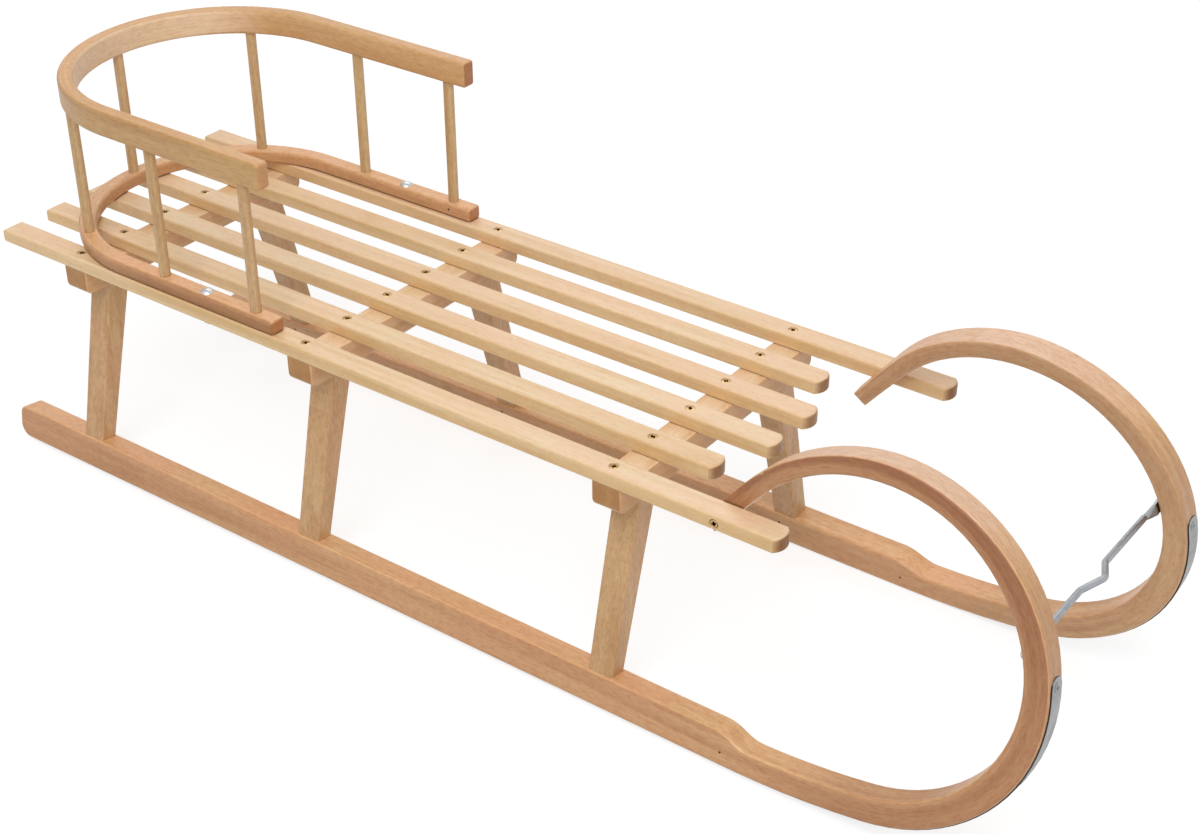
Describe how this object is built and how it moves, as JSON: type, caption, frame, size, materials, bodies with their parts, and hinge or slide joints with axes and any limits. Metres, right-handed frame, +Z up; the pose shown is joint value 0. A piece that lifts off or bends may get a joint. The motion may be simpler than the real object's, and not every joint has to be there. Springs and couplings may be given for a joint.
{
  "type": "wooden sled",
  "caption": "Wooden sled with bent runner horns, a slatted seat on splayed legs, steel shoes, a draw rod and a bentwood backrest on spindles.",
  "frame": {"origin": "on the ground, half way along the sled's length and width", "axes": "+X forward to the horns, +Y the sled's left, +Z up"},
  "size_m": [1.2018, 0.3498, 0.4277],
  "materials": {
    "runner_wood": "steam-bent beech, thin satin varnish",
    "slat_wood": "planed beech, thin satin varnish",
    "frame_wood": "planed beech, thin satin varnish",
    "hoop_wood": "steam-bent beech, thin satin varnish",
    "spindle_wood": "round beech dowel, thin satin varnish",
    "shoe_steel": "galvanised strip, worn by the snow",
    "rod_steel": "galvanised round bar",
    "bolt_steel": "zinc-plated"
  },
  "bodies": {
    "root": {"backrest_bolt_left": "bolt_steel", "backrest_bolt_right": "bolt_steel", "backrest_foot_hoop": "hoop_wood", "backrest_nut_left": "bolt_steel", "backrest_nut_right": "bolt_steel", "backrest_top_hoop": "hoop_wood", "cross_beam_front": "frame_wood", "cross_beam_middle": "frame_wood", "cross_beam_rear": "frame_wood", "draw_rod": "rod_steel", "leg_front_left": "frame_wood", "leg_front_right": "frame_wood", "leg_middle_left": "frame_wood", "leg_middle_right": "frame_wood", "leg_rear_left": "frame_wood", "leg_rear_right": "frame_wood", "runner_left": "runner_wood", "runner_right": "runner_wood", "runner_shoe_left": "shoe_steel", "runner_shoe_right": "shoe_steel", "slat_inner_left": "slat_wood", "slat_inner_right": "slat_wood", "slat_middle_left": "slat_wood", "slat_middle_right": "slat_wood", "slat_outer_left": "slat_wood", "slat_outer_right": "slat_wood", "spindle_front_left": "spindle_wood", "spindle_front_right": "spindle_wood", "spindle_middle_left": "spindle_wood", "spindle_middle_right": "spindle_wood", "spindle_rear_centre": "spindle_wood", "spindle_rear_left": "spindle_wood", "spindle_rear_right": "spindle_wood"}
  },
  "joints": []
}
